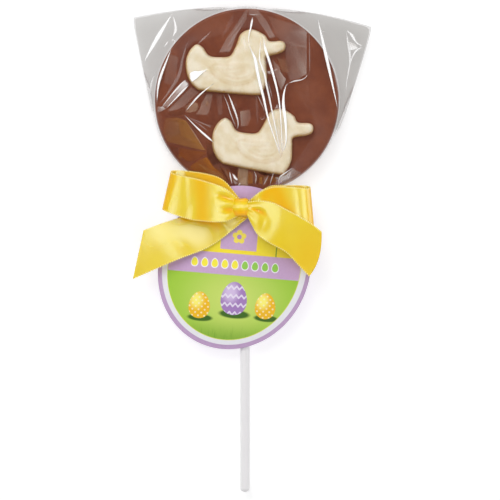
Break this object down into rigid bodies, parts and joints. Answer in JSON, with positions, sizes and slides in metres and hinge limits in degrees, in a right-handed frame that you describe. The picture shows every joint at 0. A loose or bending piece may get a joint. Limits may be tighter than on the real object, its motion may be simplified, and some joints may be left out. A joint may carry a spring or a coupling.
{
  "type": "chocolate lollipop",
  "caption": "Milk chocolate lollipop with white chocolate ducks on a white stick, in a clear film bag tied with a satin bow and an oval card tag.",
  "frame": {"origin": "centre of the chocolate disc, on the flat back of the bag, which lies on the floor plane", "axes": "+X to the right of the shown side, +Y from the stick towards the top of the disc, +Z out of the shown side, upwards as it lies"},
  "size_m": [0.116, 0.2375, 0.0229],
  "materials": {
    "milk_chocolate": "smooth moulded milk chocolate with a soft gloss",
    "white_chocolate": "moulded white chocolate, satin",
    "white_plastic": "plain white lollipop stick",
    "clear_film": "clear crisp cellulose film with creases",
    "printed_card": "thin coated card, printed on both faces in lilac, with green and yellow fields in front",
    "yellow_satin": "woven satin ribbon with small looped edges"
  },
  "bodies": {
    "root": {"chocolate_disc": "milk_chocolate", "duck_upper": "white_chocolate", "duck_lower": "white_chocolate", "stick": "white_plastic", "bag_film": "clear_film", "tag": "printed_card", "ribbon_bow": "yellow_satin"}
  },
  "joints": []
}
